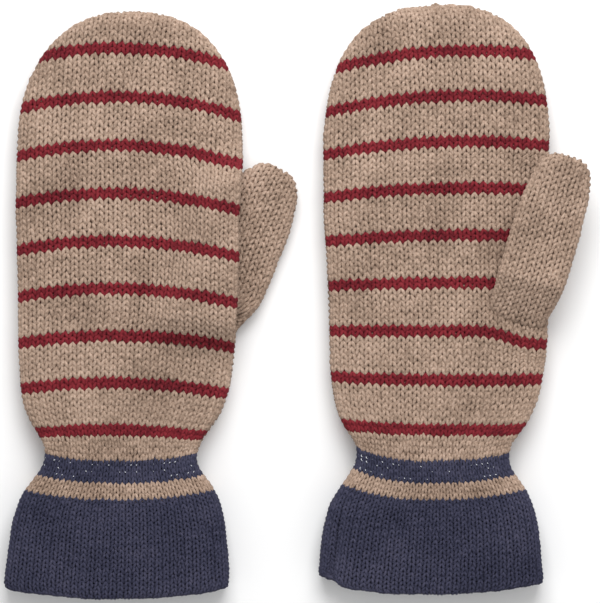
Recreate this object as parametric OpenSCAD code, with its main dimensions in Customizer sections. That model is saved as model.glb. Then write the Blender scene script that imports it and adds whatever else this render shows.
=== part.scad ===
// A pair of striped knitted mittens, lying flat side by side.
// Left mitten: back of the hand upwards, its thumb folded behind the palm.
// Right mitten: palm upwards, its thumb laid over the palm.
// Each mitten is described from its own wrist centre: u runs across, y towards the fingertips.

/* [Pair] */
// Wrist centre of the left mitten, across
left_wrist_x = -81.6; // [-100:0.1:-75]
// Wrist centre of the right mitten, across
right_wrist_x = 61.0; // [50:0.1:80]
// Wrist centre of both mittens, along
wrist_y = -70.1; // [-80:0.1:-60]
// Sideways lean of the left mitten per millimetre of length
left_lean = 0.029; // [0:0.001:0.06]
// Sideways lean of the right mitten per millimetre of length
right_lean = 0.014; // [0:0.001:0.06]
// Bow of the left mitten's middle line towards its thumb, low on the hand
left_hip = 1.4; // [0:0.1:3]
// Bow of the right mitten's middle line towards its thumb, low on the hand
right_hip = 2; // [0:0.1:3]

/* [Hand] */
// Half width of the hand just above the gathers
hand_half_w = 50; // [46:0.5:54]
// Half width of the hand where the fingertips start to round off
shoulder_half_w = 52; // [48:0.5:56]
// Height above the wrist where the fingertips start to round off
shoulder_y = 137.1; // [125:0.1:150]
// Length of the left mitten above its wrist
left_tip_y = 203.8; // [195:0.1:215]
// Length of the right mitten above its wrist
right_tip_y = 207.0; // [195:0.1:215]
// Squareness of the left fingertip outline
left_tip_power = 2.4; // [2:0.1:3]
// Squareness of the right fingertip outline
right_tip_power = 2.6; // [2:0.1:3]
// Thickness of the flat hand, both layers and the hollow
hand_thick = 15; // [13:0.5:20]
// Squareness of the section across the hand
edge_power = 6; // [4:0.5:8]
// Thickness of the single knitted wall
wall = 3; // [2.4:0.1:3.4]

/* [Wrist] */
// How far each side of the wrist draws in
waist_depth = 14.5; // [10:0.5:18]
// Reach of the gathers above the wrist
waist_reach = 16; // [12:0.5:22]
// Reach of the gathers below the wrist
flare_reach = 15.5; // [12:0.5:22]
// Thickness at the wrist
wrist_thick = 17; // [15:0.5:20]
// Rise of the wrist's courses towards both sides of the left mitten
left_wrist_rise = 3.4; // [0:0.1:7]
// Rise of the wrist's courses towards the left side of the right mitten
right_wrist_rise_inner = 6.2; // [0:0.1:7]
// Rise of the wrist's courses towards the right side of the right mitten
right_wrist_rise_outer = 3.6; // [0:0.1:7]
// Lower end of the sand gathers, which is where the wrist bends
gather_low = -2.3; // [-4:0.1:-1]
// Lower end of the navy wrist band
band_low = -12.3; // [-14:0.1:-10]
// Lower end of the sand stripe under the wrist band
cuff_stripe_low = -19.7; // [-22:0.1:-17]

/* [Cuff] */
// Half width of the cuff at its hem
cuff_half_w = 52.5; // [48:0.5:56]
// Lowest point of the left hem
left_cuff_low = -65.7; // [-75:0.1:-60]
// Lowest point of the right hem
right_cuff_low = -63.6; // [-75:0.1:-60]
// How much higher the hem is at its sides
cuff_bow = 4.8; // [0:0.1:8]
// Thickness at the mouth of the cuff
mouth_thick = 18; // [16:0.5:22]
// Height of the folded hem
hem_h = 4; // [3:0.5:8]
// Wall of the outer layer of the cuff
cuff_wall = 2.6; // [2:0.1:3]
// Wall of the facing folded up inside the cuff
facing_wall = 2; // [1.5:0.1:2.5]

/* [Stripes] */
// Height of a burgundy stripe
stripe_h = 5; // [4:0.1:6]
// Highest stripe of the left mitten
left_stripe_top = 186.2; // [180:0.1:190]
// Highest stripe of the right mitten
right_stripe_top = 184.7; // [180:0.1:190]
// Lowest stripe of both mittens
stripe_low = 12.1; // [11:0.1:14]
// Drift of the middle stripes of the left mitten from even spacing
left_stripe_drift = -1.1; // [-3:0.1:3]
// Drift of the middle stripes of the right mitten from even spacing
right_stripe_drift = 2.4; // [-3:0.1:3]
// Arch of the highest stripes of the left mitten, 50 mm from their peak
left_arch = 7.4; // [0:0.1:9]
// Arch of the highest stripes of the right mitten, 50 mm from their peak
right_arch = 6; // [0:0.1:9]
// Arch of the lowest stripes of the left mitten, 50 mm from their peak
left_low_arch = 3.7; // [-5:0.1:5]
// Arch of the lowest stripes of the right mitten, 50 mm from their peak
right_low_arch = -2.4; // [-5:0.1:5]
// Peak of the arch of the left mitten, across
left_arch_peak = -7; // [-15:0.5:15]
// Peak of the arch of the right mitten, across
right_arch_peak = 15; // [-15:0.5:15]

/* [Thumb] */
// Root of the left thumb, across
left_thumb_u = 39; // [34:0.1:40]
// Root of the right thumb, across
right_thumb_u = 34.9; // [33:0.1:38]
// Root of the left thumb, along
left_thumb_y = 57.4; // [56:0.1:60]
// Root of the right thumb, along
right_thumb_y = 61.0; // [60:0.1:64]
// Length of the left thumb, along
left_thumb_len = 74.6; // [70:0.1:85]
// Length of the right thumb, along
right_thumb_len = 76.4; // [70:0.1:85]
// Sideways slope of the left thumb at its root
left_thumb_slope = 0.287; // [0.1:0.01:0.35]
// Sideways slope of the right thumb at its root
right_thumb_slope = 0.37; // [0.2:0.01:0.4]
// Gain of the left thumb's slope per millimetre of length
left_thumb_curl = 0.0032; // [-0.002:0.0001:0.005]
// Gain of the right thumb's slope per millimetre of length
right_thumb_curl = -0.001; // [-0.002:0.0001:0.005]
// Half width of the left thumb at its widest
left_thumb_half_w = 18.2; // [15:0.1:20]
// Half width of the right thumb at its widest
right_thumb_half_w = 15.8; // [15:0.1:20]
// How far the courses of the right palm dip towards its outer edge, under the thumb
thumb_dip = 6; // [0:0.5:8]
// Half width of the thumb at its root
thumb_root_half_w = 14.4; // [12:0.1:15]
// Thickness of the thumb
thumb_thick = 10; // [9.6:0.1:11]
// Wall of the thumb
thumb_wall = 2.2; // [2:0.1:2.4]
// Length of the opening in the palm under the root of the thumb
root_len = 14; // [12:0.5:15]
// Length of the root, up to where the thumb swings
root_reach = 19; // [18:0.5:22]
// Height by which the left hand is lifted over its thumb
thumb_lift = 10.8; // [10.6:0.1:12]

/* [Seams and threads] */
// Height of the linked seam between back and palm
seam_h = 2.5; // [1.5:0.1:3]
// Height of one elastic thread
thread_h = 0.8; // [0.6:0.1:1.2]
// Spacing of the elastic threads
thread_pitch = 2.6; // [2:0.1:4]

/* [Hidden] */
LEFT = "left";
RIGHT = "right";
TOP = 1;
BOTTOM = -1;
sand = [0.68, 0.60, 0.50];
burgundy = [0.50, 0.13, 0.19];
navy = [0.20, 0.22, 0.33];
clear = [0.85, 0.87, 0.90];
// Stripes are counted from the fingertips, from 0. The hand folds right above the folding stripe.
lowest_stripe = 8;
folding_stripe = 2;
// Steps of the meshes, across half a face and along each kind of part
columns = 7;
tip_rings = 5;
sand_rings = 2;
band_rings = 3;
cuff_rings = 5;
thumb_rings = 9;
seam_rings = 12;
// Gaps that keep neighbouring parts from cutting into each other
joint_gap = 0.4;
thread_gap = 0.05;
seam_gap = 0.05;
root_gap = 0.6;
opening_gap = 0.3;
tip_stop = 0.12;
// Form of the hand and of the cuff
seam_half = seam_h / 2;
panel_edge = seam_half + seam_gap;
snap = 0.15;
bow_reach = 50;
hem_roundness = 0.7;
flat_rest = 1.06;
palm_edge = 0.97;
thread_count = 3;
waist_power = 2.4;
rise_power = 2.5;
hand_start = 40;
hip_end = 110;
// Form of the thumb
thumb_widest = 30;
left_thumb_tip_power = 3;
right_thumb_tip_power = 3.6;
thumb_edge_power = 3;
thumb_inner_tip = 0.4;
opening_reach = [-5, 35];
thumb_sides = 16;
thumb_angles = [for (k = [0 : thumb_sides - 1]) 360 * k / thumb_sides];
// Where the palm's courses dip, across and along
dip_start = 18;
dip_full = 46;
dip_low = 40;
dip_high = 54;
dip_fall = 66;
dip_end = 90;
// Where the left hand rises over its thumb, across and along
lift_ramp = 24;
lift_start = 48;
lift_full = 68;
lift_fall = 128;
lift_end = 150;

// ---- numbers ----

function clamp01(x) = max(0, min(1, x));
function smooth(x) = pow(clamp01(x), 2) * (3 - 2 * clamp01(x));
function mix(a, b, t) = a + (b - a) * t;
function steps(from, to, n) = [for (i = [0 : n]) mix(from, to, i / n)];
function eased(from, to, n) = [for (i = [0 : n]) mix(from, to, sin(90 * i / n))];
function of(side, left_value, right_value) = side == LEFT ? left_value : right_value;
function tip_y(side) = of(side, left_tip_y, right_tip_y);
function cuff_low(side) = of(side, left_cuff_low, right_cuff_low);
function back_face(side) = of(side, TOP, BOTTOM);
function palm_face(side) = of(side, BOTTOM, TOP);

// ---- outline and courses of a mitten ----

// Half width at height y above the wrist, of the outline that lies inset within the outer one.
function half_width(side, y, inset = 0) =
    let (power = of(side, left_tip_power, right_tip_power),
         straight = y > 0 ? mix(hand_half_w, shoulder_half_w, clamp01(y / shoulder_y))
                          : mix(hand_half_w, cuff_half_w, clamp01(y / (cuff_low(side) + cuff_bow))),
         waist = waist_depth / (1 + pow(abs(y) / (y > 0 ? waist_reach : flare_reach), waist_power)),
         rounding = clamp01((y - shoulder_y) / (tip_y(side) - inset - shoulder_y)))
    (straight - waist - inset) * pow(1 - pow(rounding, power), 1 / power);

// How far the course at level v hangs below that level, at u across.
function droop(side, v, u) =
    let (peak = of(side, left_arch_peak, right_arch_peak),
         low = of(side, left_low_arch, right_low_arch),
         arch = mix(low, of(side, left_arch, right_arch), v / tip_y(side)))
    v > 0 ? arch * smooth(v / stripe_low) * (pow((u - peak) / bow_reach, 2) - pow(peak / bow_reach, 2))
          : -cuff_bow * v / cuff_low(side) * pow(u / bow_reach, 2);

// How much further a course of the right palm hangs down under the thumb.
function dip(side, face, v, u) =
    side == RIGHT && face == palm_face(side)
        ? thumb_dip * smooth((u - dip_start) / (dip_full - dip_start))
          * smooth((v - dip_low) / (dip_high - dip_low))
          * (1 - smooth((v - dip_fall) / (dip_end - dip_fall)))
        : 0;

// How far the wrist's course at level v rises above that level, at share f of the half width.
function rise(side, v, f) =
    let (gather_high = stripe_low - stripe_h / 2,
         above = (v - gather_low) / (gather_high - gather_low),
         below = (cuff_stripe_low - v) / (cuff_stripe_low - cuff_low(side)),
         at_edge = of(side, left_wrist_rise, f < 0 ? right_wrist_rise_inner : right_wrist_rise_outer))
    at_edge * pow(abs(f), rise_power) * (1 - smooth(above)) * (1 - smooth(below));

// Half width of the course at level v, on the side that hand names, 1 or -1.
function course_reach(side, v, hand, inset, face = 0) =
    let (u = hand * half_width(side, v, inset))
    half_width(side, v - droop(side, v, u) - dip(side, face, v, u) + rise(side, v, hand), inset);

function thickness(v) = v > 0 ? mix(wrist_thick, hand_thick, smooth(v / hand_start))
                              : mix(wrist_thick, mouth_thick, v / left_cuff_low);

// Half of the thickness at level v, of the surface that lies inset within the outer one.
function half_thickness(side, v, inset) =
    let (half = thickness(v) / 2 - inset,
         left_over = clamp01((tip_y(side) - inset - v) / half))
    half * sqrt(1 - pow(1 - left_over, 2));

// Height by which the left hand rises over its thumb.
function lift(side, u, v) =
    let (inner_edge = left_thumb_u - thumb_root_half_w + left_thumb_slope * (v - left_thumb_y),
         across = smooth((u - inner_edge + lift_ramp) / lift_ramp),
         along = smooth((v - lift_start) / (lift_full - lift_start))
                 * (1 - smooth((v - lift_fall) / (lift_end - lift_fall))))
    side == LEFT ? thumb_lift * across * along : 0;

// Middle line of the mitten at height y above the wrist, across from the wrist centre.
function sway(side, y) =
    let (t = clamp01(y / hip_end))
    of(side, left_lean, right_lean) * y + of(side, left_hip, right_hip) * 4 * t * (1 - t);

function place(side, u, y, z) =
    [of(side, left_wrist_x, right_wrist_x) + sway(side, y) + u, wrist_y + y, z];

// A point of a mitten's skin: level v, share f of the half width, on the top or bottom face.
// Within edge of the seam's height the skin lies flat on the seam.
function skin(side, face, v, f, inset, edge) =
    let (u = f * course_reach(side, v, f < 0 ? -1 : 1, inset, face),
         middle = thickness(v) / 2,
         arch = half_thickness(side, v, inset) * pow(1 - pow(abs(f), edge_power), 1 / edge_power),
         bulge = arch < edge + snap ? edge : arch,
         z = face == TOP ? middle + bulge : max(inset, middle - (bulge > edge ? flat_rest * bulge : edge)))
    place(side, u, v - droop(side, v, u) - dip(side, face, v, u) + rise(side, v, f), z + lift(side, u, v));

function panel_row(side, face, v, inset) =
    [for (k = [-columns : columns]) skin(side, face, v, -face * sin(90 * k / columns), inset, panel_edge)];

function ring_row(side, v, inset) =
    [for (face = [TOP, BOTTOM], k = [-columns : columns - 1])
        skin(side, face, v, -face * sin(90 * k / columns), inset, 0)];

function seam_row(side, v, hand, inset) =
    let (u = hand * course_reach(side, v, hand, inset), y = v - droop(side, v, u),
         middle = thickness(v) / 2 + lift(side, u, v))
    [place(side, u, y, middle - seam_half), place(side, u, y, middle + seam_half)];

// ---- bands ----

function stripe_y(side, i) =
    mix(of(side, left_stripe_top, right_stripe_top), stripe_low, i / lowest_stripe)
    + of(side, left_stripe_drift, right_stripe_drift) * 4 * i / lowest_stripe * (1 - i / lowest_stripe);
function stripe_bottom(side, i) = stripe_y(side, i) - stripe_h / 2;
function stripe_top(side, i) = stripe_y(side, i) + stripe_h / 2;
function stripe_levels(side, i) = [stripe_bottom(side, i), stripe_top(side, i)];
// The sand band right above stripe i. The one above the folding stripe starts past the joint.
function sand_levels(side, i) =
    let (gap = i == folding_stripe ? joint_gap : 0)
    steps(stripe_top(side, i) + gap, stripe_bottom(side, i - 1), sand_rings);
function hand_levels(side) =
    [for (i = [lowest_stripe : -1 : folding_stripe])
        each i == folding_stripe ? stripe_levels(side, i)
                                 : concat(stripe_levels(side, i), [sand_levels(side, i)[1]])];

// ---- closed meshes ----

// Triangles between two rows of points. turned picks the other diagonal.
function strip(a, b, turned = false) =
    [for (k = [0 : len(a) - 2])
        each turned ? [[a[k], a[k + 1], b[k]], [a[k + 1], b[k + 1], b[k]]]
                    : [[a[k], a[k + 1], b[k + 1]], [a[k], b[k + 1], b[k]]]];
function row_of(start, cols, r, wrap) =
    [for (k = [0 : cols - (wrap ? 0 : 1)]) start + r * cols + k % cols];
function column_of(start, cols, rows, k) = [for (r = [0 : rows - 1]) start + r * cols + k];
function reversed(list) = [for (i = [len(list) - 1 : -1 : 0]) list[i]];

// A wall between an outer and an inner grid of points. wrap joins the last column to the first,
// and closed_end shuts the far end of both grids. Both ends have the same diagonals, so that
// two walls that follow each other meet exactly.
module shell(outer, inner, wrap = false, closed_end = false) {
    rows = len(outer);
    cols = len(outer[0]);
    n = rows * cols;
    faces = concat(
        [for (r = [0 : rows - 2]) each strip(row_of(0, cols, r, wrap), row_of(0, cols, r + 1, wrap))],
        [for (r = [0 : rows - 2]) each strip(row_of(n, cols, r + 1, wrap), row_of(n, cols, r, wrap))],
        strip(row_of(n, cols, 0, wrap), row_of(0, cols, 0, wrap)),
        closed_end ? [row_of(0, cols, rows - 1, false), reversed(row_of(n, cols, rows - 1, false))]
                   : strip(row_of(0, cols, rows - 1, wrap), row_of(n, cols, rows - 1, wrap), true),
        wrap ? [] : strip(column_of(0, cols, rows, 0), column_of(n, cols, rows, 0)),
        wrap ? [] : strip(column_of(n, cols, rows, cols - 1), column_of(0, cols, rows, cols - 1)));
    polyhedron(points = [for (row = concat(outer, inner)) each row], faces = faces);
}

// ---- parts that both mittens have ----

module panel_band(side, face, levels, inner_levels) {
    shell([for (v = levels) panel_row(side, face, v, 0)],
          [for (v = inner_levels) panel_row(side, face, v, wall)]);
}

module hand_sand(side, face) {
    for (i = [lowest_stripe : -1 : folding_stripe + 1])
        panel_band(side, face, sand_levels(side, i), sand_levels(side, i));
}

module hand_stripes(side, face) {
    for (i = [lowest_stripe : -1 : folding_stripe])
        panel_band(side, face, stripe_levels(side, i), stripe_levels(side, i));
}

module finger_sand(side, face) {
    for (i = [folding_stripe : -1 : 1])
        panel_band(side, face, sand_levels(side, i), sand_levels(side, i));
    panel_band(side, face,
               eased(stripe_top(side, 0), tip_y(side) - tip_stop, tip_rings),
               eased(stripe_top(side, 0), tip_y(side) - wall - tip_stop, tip_rings));
}

module finger_stripes(side, face) {
    for (i = [folding_stripe - 1 : -1 : 0])
        panel_band(side, face, stripe_levels(side, i), stripe_levels(side, i));
}

module side_seams(side) {
    for (hand = [1, -1]) {
        levels = hand > 0 ? hand_levels(side) : reversed(hand_levels(side));
        shell([for (v = levels) seam_row(side, v, hand, 0)],
              [for (v = levels) seam_row(side, v, hand, wall)]);
    }
}

module tip_seam(side) {
    start = stripe_top(side, folding_stripe) + joint_gap;
    outer = eased(start, tip_y(side) - tip_stop, seam_rings);
    inner = eased(start, tip_y(side) - wall - tip_stop, seam_rings);
    shell(concat([for (v = outer) seam_row(side, v, 1, 0)],
                 [for (v = reversed(outer)) seam_row(side, v, -1, 0)]),
          concat([for (v = inner) seam_row(side, v, 1, wall)],
                 [for (v = reversed(inner)) seam_row(side, v, -1, wall)]));
}

module sleeve(side, levels, inset, thick) {
    shell([for (v = levels) ring_row(side, v, inset)],
          [for (v = levels) ring_row(side, v, inset + thick)], wrap = true);
}

module wrist_gather(side) {
    sleeve(side, steps(gather_low, stripe_bottom(side, lowest_stripe), band_rings), 0, wall);
}

module wrist_band(side) {
    sleeve(side, steps(band_low, gather_low - joint_gap, band_rings), 0, wall);
}

module elastic_threads(side) {
    middle = (band_low + gather_low) / 2;
    for (i = [0 : thread_count - 1]) {
        v = middle + (i - 1) * thread_pitch;
        sleeve(side, [v - thread_h / 2, v + thread_h / 2], wall + thread_gap, thread_h);
    }
}

module cuff_stripe(side) {
    sleeve(side, steps(cuff_stripe_low, band_low, sand_rings), 0, wall);
}

module cuff_outer(side) {
    sleeve(side, steps(cuff_low(side) + hem_h, cuff_stripe_low, cuff_rings), 0, cuff_wall);
}

module cuff_facing(side) {
    sleeve(side, steps(cuff_low(side) + hem_h, cuff_stripe_low, cuff_rings), cuff_wall + thread_gap,
           facing_wall);
}

module cuff_hem(side) {
    turn = (cuff_wall + facing_wall) / 2;
    angles = [0, 30, 60, 90];
    function level(a) = cuff_low(side) + hem_h * (1 - cos(a));
    function tuck(a) = hem_roundness * turn * (1 - sin(a));
    shell([for (a = angles) ring_row(side, level(a), tuck(a))],
          [for (a = angles) ring_row(side, level(a), 2 * turn - tuck(a))], wrap = true);
}

// ---- thumb ----

function thumb_root_y(side) = of(side, left_thumb_y, right_thumb_y);
function thumb_len(side) = of(side, left_thumb_len, right_thumb_len);
// The left thumb lies on the table and the right one on the palm.
function thumb_floor(side) = of(side, 0, hand_thick + joint_gap);
function thumb_slope(side, q) =
    of(side, left_thumb_slope, right_thumb_slope) + of(side, left_thumb_curl, right_thumb_curl) * q;
// Middle line of the thumb, q along from its root: place across and along.
function thumb_axis(side, q) =
    [of(side, left_thumb_u, right_thumb_u) + q * (thumb_slope(side, q / 2)), thumb_root_y(side) + q];

// Half width of the thumb, q along from its root.
function thumb_width(side, q) =
    let (share = clamp01((q - thumb_widest) / (thumb_len(side) - thumb_widest)),
         half_w = of(side, left_thumb_half_w, right_thumb_half_w),
         power = of(side, left_thumb_tip_power, right_thumb_tip_power))
    q < thumb_widest ? mix(half_w, thumb_root_half_w, pow(1 - q / thumb_widest, 2))
                     : half_w * pow(1 - pow(share, power), 1 / power);

function thumb_half_thick(side, q, inset) =
    let (half = thumb_thick / 2 - inset)
    half * sqrt(1 - pow(1 - clamp01((thumb_len(side) - inset - q) / half), 2));

// A point near the thumb: q along its middle line, across to its right, and at height z.
function by_thumb(side, q, across, z) =
    let (slope = thumb_slope(side, q), size = sqrt(1 + slope * slope), p = thumb_axis(side, q))
    place(side, p[0] + across / size, p[1] - across * slope / size, z);

function rounded(x) = sign(x) * pow(abs(x), 2 / thumb_edge_power);

function thumb_row(side, q, inset) =
    let (share = q > thumb_widest ? thumb_inner_tip : 1,
         w = thumb_width(side, min(q + inset, thumb_len(side) - tip_stop)) - share * inset,
         h = thumb_half_thick(side, q, inset))
    [for (a = thumb_angles)
        by_thumb(side, q, w * rounded(cos(a)),
                 thumb_floor(side) + thumb_thick / 2 + h * rounded(sin(a)))];

// Height of the palm's outer face at a point given across and along.
function palm_height(side, u, y) =
    let (f = min(palm_edge, abs(u) / half_width(side, y)),
         bulge = half_thickness(side, y, 0) * pow(1 - pow(f, edge_power), 1 / edge_power))
    side == LEFT ? lift(side, u, y) + max(0, thickness(y) / 2 - flat_rest * bulge)
                 : thickness(y) / 2 + bulge;

// One ring of the thumb's root. It turns from the palm, at turn 0, to the thumb's section, at 90.
function root_row(side, turn, inset) =
    let (half_len = root_len / 2 - inset,
         q = mix(root_len / 2, root_reach, 1 - cos(turn)),
         w = mix(thumb_root_half_w, thumb_width(side, root_reach), 1 - cos(turn)) - inset,
         h = thumb_thick / 2 - inset,
         leaning = of(side, 1, -1),
         rise = 1 - cos(turn))
    [for (a = thumb_angles)
        let (q_here = q + leaning * half_len * cos(turn) * rounded(sin(a)),
             plan = by_thumb(side, q_here, w * rounded(cos(a)), 0),
             u = plan[0] - place(side, 0, plan[1] - wrist_y, 0)[0],
             on_palm = palm_height(side, u, plan[1] - wrist_y) + of(side, -root_gap, root_gap),
             level = thumb_floor(side) + thumb_thick / 2,
             height = side == LEFT
                 ? mix(on_palm, level + h * rounded(sin(a)), rise)
                 : mix(on_palm, thumb_floor(side), rise) + inset * rise
                   + h * rise * (1 + rounded(sin(a))))
        [plan[0], plan[1], height]];

module thumb_root(side) {
    turns = [0, 30, 60, 90];
    shell([for (a = turns) root_row(side, a, 0)],
          [for (a = turns) root_row(side, a, thumb_wall)], wrap = true);
}

module thumb(side) {
    start = root_reach + joint_gap;
    outer = eased(start, thumb_len(side) - tip_stop, thumb_rings);
    inner = eased(start, thumb_len(side) - thumb_wall - tip_stop, thumb_rings);
    shell([for (q = outer) thumb_row(side, q, 0)], [for (q = inner) thumb_row(side, q, thumb_wall)],
          wrap = true, closed_end = true);
}

// Opening in the palm through which the thumb's hollow joins the hand's.
module thumb_opening(side) {
    rim = thumb_wall + opening_gap;
    middle = root_len / 2;
    translate([0, 0, opening_reach[0]]) linear_extrude(height = opening_reach[1] - opening_reach[0])
        polygon([for (a = [0 : 30 : 330])
            let (p = by_thumb(side, middle + (middle - rim) * rounded(sin(a)),
                              (thumb_root_half_w - rim) * rounded(cos(a)), 0))
            [p[0], p[1]]]);
}

module palm_sand(side) {
    difference() {
        hand_sand(side, palm_face(side));
        thumb_opening(side);
    }
}

// ---- nodes of the left mitten ----

module left_back_sand() { color(sand) hand_sand(LEFT, back_face(LEFT)); }
module left_back_stripes() { color(burgundy) hand_stripes(LEFT, back_face(LEFT)); }
module left_palm_sand() { color(sand) palm_sand(LEFT); }
module left_palm_stripes() { color(burgundy) hand_stripes(LEFT, palm_face(LEFT)); }
module left_side_seams() { color(sand) side_seams(LEFT); }
module left_wrist_gather() { color(sand) wrist_gather(LEFT); }
module left_thumb_root() { color(sand) thumb_root(LEFT); }
module left_finger_back_sand() { color(sand) finger_sand(LEFT, back_face(LEFT)); }
module left_finger_back_stripes() { color(burgundy) finger_stripes(LEFT, back_face(LEFT)); }
module left_finger_palm_sand() { color(sand) finger_sand(LEFT, palm_face(LEFT)); }
module left_finger_palm_stripes() { color(burgundy) finger_stripes(LEFT, palm_face(LEFT)); }
module left_tip_seam() { color(sand) tip_seam(LEFT); }
module left_thumb() { color(sand) thumb(LEFT); }
module left_wrist_band() { color(navy) wrist_band(LEFT); }
module left_elastic_threads() { color(clear) elastic_threads(LEFT); }
module left_cuff_stripe() { color(sand) cuff_stripe(LEFT); }
module left_cuff_outer() { color(navy) cuff_outer(LEFT); }
module left_cuff_hem() { color(navy) cuff_hem(LEFT); }
module left_cuff_facing() { color(navy) cuff_facing(LEFT); }

// ---- nodes of the right mitten ----

module right_back_sand() { color(sand) hand_sand(RIGHT, back_face(RIGHT)); }
module right_back_stripes() { color(burgundy) hand_stripes(RIGHT, back_face(RIGHT)); }
module right_palm_sand() { color(sand) palm_sand(RIGHT); }
module right_palm_stripes() { color(burgundy) hand_stripes(RIGHT, palm_face(RIGHT)); }
module right_side_seams() { color(sand) side_seams(RIGHT); }
module right_wrist_gather() { color(sand) wrist_gather(RIGHT); }
module right_thumb_root() { color(sand) thumb_root(RIGHT); }
module right_finger_back_sand() { color(sand) finger_sand(RIGHT, back_face(RIGHT)); }
module right_finger_back_stripes() { color(burgundy) finger_stripes(RIGHT, back_face(RIGHT)); }
module right_finger_palm_sand() { color(sand) finger_sand(RIGHT, palm_face(RIGHT)); }
module right_finger_palm_stripes() { color(burgundy) finger_stripes(RIGHT, palm_face(RIGHT)); }
module right_tip_seam() { color(sand) tip_seam(RIGHT); }
module right_thumb() { color(sand) thumb(RIGHT); }
module right_wrist_band() { color(navy) wrist_band(RIGHT); }
module right_elastic_threads() { color(clear) elastic_threads(RIGHT); }
module right_cuff_stripe() { color(sand) cuff_stripe(RIGHT); }
module right_cuff_outer() { color(navy) cuff_outer(RIGHT); }
module right_cuff_hem() { color(navy) cuff_hem(RIGHT); }
module right_cuff_facing() { color(navy) cuff_facing(RIGHT); }

left_back_sand();
left_back_stripes();
left_palm_sand();
left_palm_stripes();
left_side_seams();
left_wrist_gather();
left_thumb_root();
left_finger_back_sand();
left_finger_back_stripes();
left_finger_palm_sand();
left_finger_palm_stripes();
left_tip_seam();
left_thumb();
left_wrist_band();
left_elastic_threads();
left_cuff_stripe();
left_cuff_outer();
left_cuff_hem();
left_cuff_facing();
right_back_sand();
right_back_stripes();
right_palm_sand();
right_palm_stripes();
right_side_seams();
right_wrist_gather();
right_thumb_root();
right_finger_back_sand();
right_finger_back_stripes();
right_finger_palm_sand();
right_finger_palm_stripes();
right_tip_seam();
right_thumb();
right_wrist_band();
right_elastic_threads();
right_cuff_stripe();
right_cuff_outer();
right_cuff_hem();
right_cuff_facing();
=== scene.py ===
"""Looks for a pair of striped knitted mittens: every stitch is a real loop of yarn."""

from dataclasses import dataclass

import bpy
import numpy as np
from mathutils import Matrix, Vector


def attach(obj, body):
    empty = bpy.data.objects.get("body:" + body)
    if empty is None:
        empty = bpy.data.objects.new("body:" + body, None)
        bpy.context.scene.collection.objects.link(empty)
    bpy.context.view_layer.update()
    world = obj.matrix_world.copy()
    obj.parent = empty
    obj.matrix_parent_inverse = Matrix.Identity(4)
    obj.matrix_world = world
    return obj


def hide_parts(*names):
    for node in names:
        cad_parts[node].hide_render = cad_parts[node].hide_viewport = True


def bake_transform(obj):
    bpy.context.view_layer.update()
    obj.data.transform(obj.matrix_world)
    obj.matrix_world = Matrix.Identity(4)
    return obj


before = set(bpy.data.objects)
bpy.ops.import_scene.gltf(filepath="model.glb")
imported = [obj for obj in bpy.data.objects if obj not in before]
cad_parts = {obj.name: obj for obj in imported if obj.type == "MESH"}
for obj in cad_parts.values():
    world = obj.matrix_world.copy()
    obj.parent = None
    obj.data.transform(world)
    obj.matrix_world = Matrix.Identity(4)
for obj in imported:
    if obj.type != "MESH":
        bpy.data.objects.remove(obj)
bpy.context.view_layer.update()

MM = 0.001
TAU = 2 * np.pi
TOP = 1
BOTTOM = -1
TINY = 1e-9  # keeps a length from being divided by zero
THINNEST = 1e-3  # the same for a face's width
LAST_CELL = 1.001  # keeps a lookup inside the last cell of a grid


# ---- the mittens' dimensions, in millimetres, as in the CAD design ----


@dataclass
class Mitten:
    """What differs between the two mittens. x runs across, y from the wrist to the fingertips."""

    name: str
    back: int  # the face that the back of the hand is on
    wrist_x: float
    lean: float  # sideways shift for each millimetre towards the fingertips
    hip: float  # how far the middle line bows sideways halfway up the hand
    tip_y: float
    tip_power: float  # squareness of the outline at the fingertips
    cuff_low: float
    rise_left: float  # how far the wrist's courses climb towards the left edge
    rise_right: float
    stripe_top: float  # middle of the highest stripe
    stripe_drift: float  # how far the middle stripe lies off an even spacing
    low_arch: float  # how far the lowest course hangs down at the sides
    arch: float  # the same for the highest one
    arch_peak: float  # where across the hand the courses are highest
    thumb_u: float  # where across the hand the thumb's middle line starts
    thumb_y: float
    thumb_len: float
    thumb_slope: float  # sideways shift of the thumb for each millimetre up
    thumb_curl: float  # change of that slope for each millimetre
    thumb_half_w: float
    thumb_tip_power: float
    thumb_dip: float  # how far the palm's courses sink under the thumb
    thumb_floor: float  # height that the thumb lies at
    glint_edge: float  # where around the wrist the elastic shows most, in faces, or 0 for nowhere
    creased: bool  # whether the cuff has a crease and a turned corner


MITTENS = (
    Mitten(
        name="left", back=TOP, wrist_x=-81.6, lean=0.029, hip=1.4,
        tip_y=203.8, tip_power=2.4, cuff_low=-65.7, rise_left=3.4, rise_right=3.4,
        stripe_top=186.2, stripe_drift=-1.1, low_arch=3.7, arch=7.4, arch_peak=-7.0,
        thumb_u=39.0, thumb_y=57.4, thumb_len=74.6, thumb_slope=0.287, thumb_curl=0.0032,
        thumb_half_w=18.2, thumb_tip_power=3.0, thumb_dip=0.0, thumb_floor=0.0,
        glint_edge=0.0, creased=False,
    ),
    Mitten(
        name="right", back=BOTTOM, wrist_x=61.0, lean=0.014, hip=2.0,
        tip_y=207.0, tip_power=2.6, cuff_low=-63.6, rise_left=6.2, rise_right=3.6,
        stripe_top=184.7, stripe_drift=2.4, low_arch=-2.4, arch=6.0, arch_peak=15.0,
        thumb_u=34.9, thumb_y=61.0, thumb_len=76.4, thumb_slope=0.37, thumb_curl=-0.001,
        thumb_half_w=15.8, thumb_tip_power=3.6, thumb_dip=6.0, thumb_floor=15.4,
        glint_edge=0.89, creased=True,
    ),
)

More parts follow.
